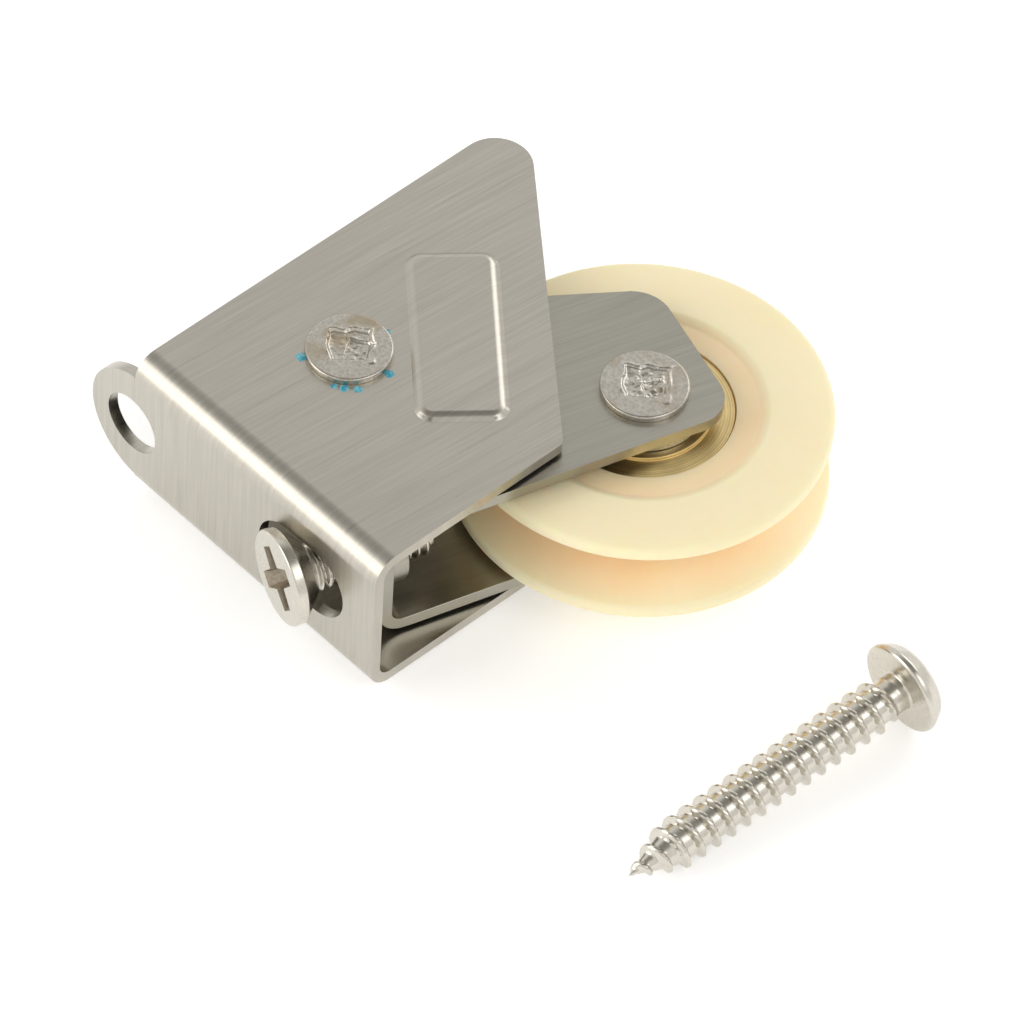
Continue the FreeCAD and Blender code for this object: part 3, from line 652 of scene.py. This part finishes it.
def adjusting_screw(materials):
    """The countersunk machine screw, its head's face at the place's origin and its shank along +Z."""
    points = node_points("adjusting_screw")
    along = points @ np.array(ARM_AXIS)
    face = float(along.min())
    near = points[along < face + 0.2 * MM]
    centre = Vector(((near.min(0) + near.max(0)) / 2).tolist())
    centre += ARM_AXIS * (face - centre.dot(ARM_AXIS))
    place = axis_frame(centre, ARM_AXIS)
    head, length = reach("adjusting_screw", place)
    core, pitch, rim, bevel = 1.62 * MM, 0.7 * MM, 0.8 * MM, 0.5 * MM
    cone_end = rim + head - SHANK_RADIUS
    profile = divided(fillet_profile([
        (0.4 * MM, 0.0, 0), (head, 0.0, 0.16 * MM), (head, rim, 0.1 * MM),
        (SHANK_RADIUS, cone_end, 0)]), 0.4 * MM)

    def end_bevel(height):
        return 1.0 - 0.28 * smooth_step(height, length - bevel, length)

    rows = threaded_shank(core, SHANK_RADIUS, pitch, cone_end + 0.02 * MM, length, 0.5 * MM,
                          0.3 * MM, 0.0, 0.06, 0.44, end_bevel)
    recess = (4.9 * MM, 1.25 * MM, 1.7 * MM, math.radians(26))
    screw("countersunk_screw", "adjusting_screw", "adjusting_screw", place, profile, rows, recess,
          materials)


def fixing_screw(materials):
    """The loose tapping screw, from its head's top at the place's origin to its gimlet point."""
    points = node_points("fixing_screw")
    tip = Vector(points[points[:, 1].argmin()].tolist())
    axis = (tip - Vector(points.mean(0).tolist())).normalized()
    for _ in range(2):  # the head's rim is a circle, so its box has the same middle
        away = points - np.array(tip)
        across = np.linalg.norm(away - np.outer(away @ np.array(axis), axis), axis=1)
        rim = points[across > across.max() * 0.95]
        axis = (tip - Vector(((rim.min(0) + rim.max(0)) / 2).tolist())).normalized()
    along = points @ np.array(axis)
    overall = float(along.max() - along.min())
    place = axis_frame(tip - axis * overall, axis)
    head = reach("fixing_screw", place)[0]
    under = 2.1 * MM
    core, crest, pitch, point = 1.45 * MM, 1.95 * MM, 1.4 * MM, 4.2 * MM
    dome = [(0.35 * MM, 0.0, 0), (head * 0.5, 0.06 * MM, 0.9 * MM), (head * 0.84, 0.6 * MM, 1.1 * MM),
            (head, under - 0.5 * MM, 0.35 * MM), (head, under, 0.3 * MM), (core, under, 0.2 * MM),
            (core, under + 0.3 * MM, 0)]
    profile = fillet_profile(dome, steps=7)

    def taper(height):
        share = (height - (overall - point)) / point
        return 1.0 if share <= 0 else max(0.02, 1 - share ** 1.25)

    rows = threaded_shank(core, crest, pitch, under + 0.32 * MM, overall - 0.02 * MM, 2.2 * MM, 0.5 * MM,
                          0.35, 0.05, 0.25, taper)
    recess = (4.4 * MM, 0.95 * MM, 1.5 * MM, math.radians(20))
    screw("tapping_screw", "fixing_screw", "fixing_screw", place, profile, rows, recess, materials)


# ---- Marks on the housing -----------------------------------------------------------------------

def ink_specks(material, top):
    """Dried blue ink caught round the pivot rivet's head."""
    specks = ((238, 3.55, 0.40), (300, 3.55, 0.26), (312, 3.6, 0.34), (328, 3.7, 0.34), (12, 3.6, 0.36),
              (83, 3.45, 0.22))
    points, faces = [], []
    for degrees, radius, size in specks:
        angle = math.radians(degrees)
        centre = PIVOT + Vector((math.cos(angle), math.sin(angle), 0)) * radius * MM
        start = len(points)
        count = 14
        for step in range(count):
            turn = 2 * math.pi * step / count
            wobble = 1 + 0.35 * noise.noise(Vector((degrees, 2.2 * math.cos(turn), 2.2 * math.sin(turn))))
            offset = Vector((math.cos(turn), math.sin(turn), 0)) * size * wobble * MM
            points.append(Vector((centre.x + offset.x, centre.y + offset.y, top + 0.002 * MM)))
        for step in range(count):
            rim = points[start + step]
            inner = Vector((centre.x, centre.y, rim.z)).lerp(rim, 0.6)
            points.append(inner + UP * 0.02 * MM)
        faces += ring_faces(2, count, start)
        faces.append([start + count + step for step in range(count)])
    piece = new_piece("ink_specks", points, faces)
    finish_piece(piece, "housing", [material])


# ---- Building -----------------------------------------------------------------------------------

def build():
    plate = brushed_steel("brushed_housing", (0.50, 0.475, 0.42), math.radians(5), (0, 0, 0))
    # Painted shade: the arm's steel is given a darker colour than the housing's, as the housing shades it.
    arm = brushed_steel("brushed_arm_painted_shade", (0.40, 0.385, 0.335), ARM_TURN, tuple(PIVOT))
    rivet_steel = worn_steel("rivet_steel", (0.60, 0.57, 0.51), 0.3, 4200, 0.006, (0.40, 0.33, 0.22))
    screw_steel = worn_steel("screw_steel", (0.66, 0.63, 0.56), 0.25, 3600, 0.003, tone_drop=0.9)
    # Painted shade for the cross recesses: steel darker and browner than the screw heads.
    painted_recess_shade = worn_steel("painted_recess_shade", (0.36, 0.31, 0.24), 0.4, 3600, 0.006)
    sleeve_steel = turned_metal("turned_steel", (0.52, 0.52, 0.52), PIVOT, 0.3)
    brass = turned_metal("turned_brass", (0.85, 0.66, 0.32), AXLE, 0.34)

    rounded_sheet("folded_housing", "housing", "housing", plate, PANEL_ROUND)
    rounded_sheet("folded_arm", "arm_bracket", "arm", arm)
    pivot_marks = [(-0.1 * MM, 0.1 * MM, 1.45 * MM, 0.85, 0.2 * MM),
                   (0.6 * MM, 0.3 * MM, 0.9 * MM, 0.5, 0.12 * MM)]
    axle_marks = [(0.0, 0.1 * MM, 1.5 * MM, 0.75, 0.15 * MM), (0.6 * MM, 0.3 * MM, 0.8 * MM, 1.1, 0.15 * MM)]
    rivet("pivot_rivet_heads", "pivot_rivet", "housing", Matrix.Translation(PIVOT), pivot_marks,
          0.05 * MM, rivet_steel)
    rivet("axle_rivet_heads", "axle_rivet", "arm", Matrix.Translation(AXLE), axle_marks,
          0.06 * MM, rivet_steel)
    wheel(moulded_nylon("cream_nylon"))
    bush(brass)
    adjusting_screw([screw_steel, painted_recess_shade])
    fixing_screw([screw_steel, painted_recess_shade])
    ink_specks(cyan_ink("blue_ink"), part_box("pivot_rivet")[1].z - HEAD_HEIGHT)
    for node in ("pivot_sleeve", "axle_sleeve", "axle_washer_upper", "axle_washer_lower"):
        CAD_NODES[node].data.materials.clear()
        CAD_NODES[node].data.materials.append(sleeve_steel)


# ---- Studio -------------------------------------------------------------------------------------

CAMERA_AZIMUTH = 44.47  # degrees; 0 looks along +Y
CAMERA_ELEVATION = 49.26
CAMERA_ROLL = 3.62
CAMERA_DISTANCE = 723 * MM
CAMERA_LENS = 351.56  # millimetres, on a 36 mm sensor
AIM_SHIFT = Vector((-1.3, -4.25, 0.6)) * MM  # from the middle of the object's box


def towards(azimuth, elevation):
    """The direction from the object to something at an azimuth and elevation."""
    turn, lift = math.radians(azimuth), math.radians(elevation)
    return Vector((math.sin(turn) * math.cos(lift), -math.cos(turn) * math.cos(lift), math.sin(lift)))


def add_camera(middle):
    camera = bpy.data.objects.new("camera", bpy.data.cameras.new("camera"))
    bpy.context.scene.collection.objects.link(camera)
    camera.data.sensor_width = 36
    camera.data.lens = CAMERA_LENS
    camera.data.clip_start = 0.02
    camera.data.clip_end = 20
    away = towards(CAMERA_AZIMUTH, CAMERA_ELEVATION)
    level = (-away).to_track_quat("-Z", "Y").to_matrix().to_4x4()
    roll = Matrix.Rotation(math.radians(CAMERA_ROLL), 4, "Z")
    camera.matrix_world = Matrix.Translation(middle + AIM_SHIFT + away * CAMERA_DISTANCE) @ level @ roll
    bpy.context.scene.camera = camera


def add_light(name, middle, azimuth, elevation, distance, width, height, power, colour=(1, 1, 1)):
    data = bpy.data.lights.new(name, "AREA")
    data.shape = "RECTANGLE"
    data.size, data.size_y = width, height
    data.energy, data.color = power, colour
    light = bpy.data.objects.new(name, data)
    away = towards(azimuth, elevation)
    light.location = middle + away * distance
    light.rotation_mode = "QUATERNION"
    light.rotation_quaternion = (-away).to_track_quat("-Z", "Y")
    bpy.context.scene.collection.objects.link(light)


def add_world():
    """A pale studio, bright at the sides and darker overhead."""
    world = bpy.data.worlds.new("studio")
    bpy.context.scene.world = world
    world.use_nodes = True
    tree = world.node_tree
    background = tree.nodes["Background"]
    coordinates = tree.nodes.new("ShaderNodeTexCoord")
    separate = tree.nodes.new("ShaderNodeSeparateXYZ")
    ramp = tree.nodes.new("ShaderNodeValToRGB")
    tree.links.new(coordinates.outputs["Generated"], separate.inputs[0])
    tree.links.new(separate.outputs["Z"], ramp.inputs["Fac"])
    tree.links.new(ramp.outputs["Color"], background.inputs["Color"])
    stops = [(0.0, (0.92, 0.90, 0.87)), (0.5, (1.0, 0.99, 0.97)), (0.76, (0.95, 0.94, 0.92)),
             (0.90, (0.30, 0.29, 0.27)), (1.0, (0.30, 0.29, 0.27))]
    fill_ramp(ramp, stops)
    background.inputs["Strength"].default_value = 0.93


def add_studio():
    low, high = CAD_BOX
    middle = (low + high) / 2
    add_camera(middle)
    add_world()
    add_light("key", middle, -31, 24, 0.6, 0.42, 0.46, 1.1, (1.0, 0.98, 0.94))
    add_light("rear", middle, 191, 32, 0.8, 0.5, 0.3, 0.8)
    add_light("fill", middle, 100, 50, 0.8, 0.4, 0.4, 0.8)
    bpy.ops.mesh.primitive_grid_add(x_subdivisions=8, y_subdivisions=8, size=6.0,
                                    location=(middle.x, middle.y, low.z))
    floor = bpy.context.object
    floor.name = "floor"
    floor.data.materials.append(pale_floor("floor"))
    view = bpy.context.scene.view_settings
    view.view_transform = "Standard"
    view.look = "None"


build()
add_studio()
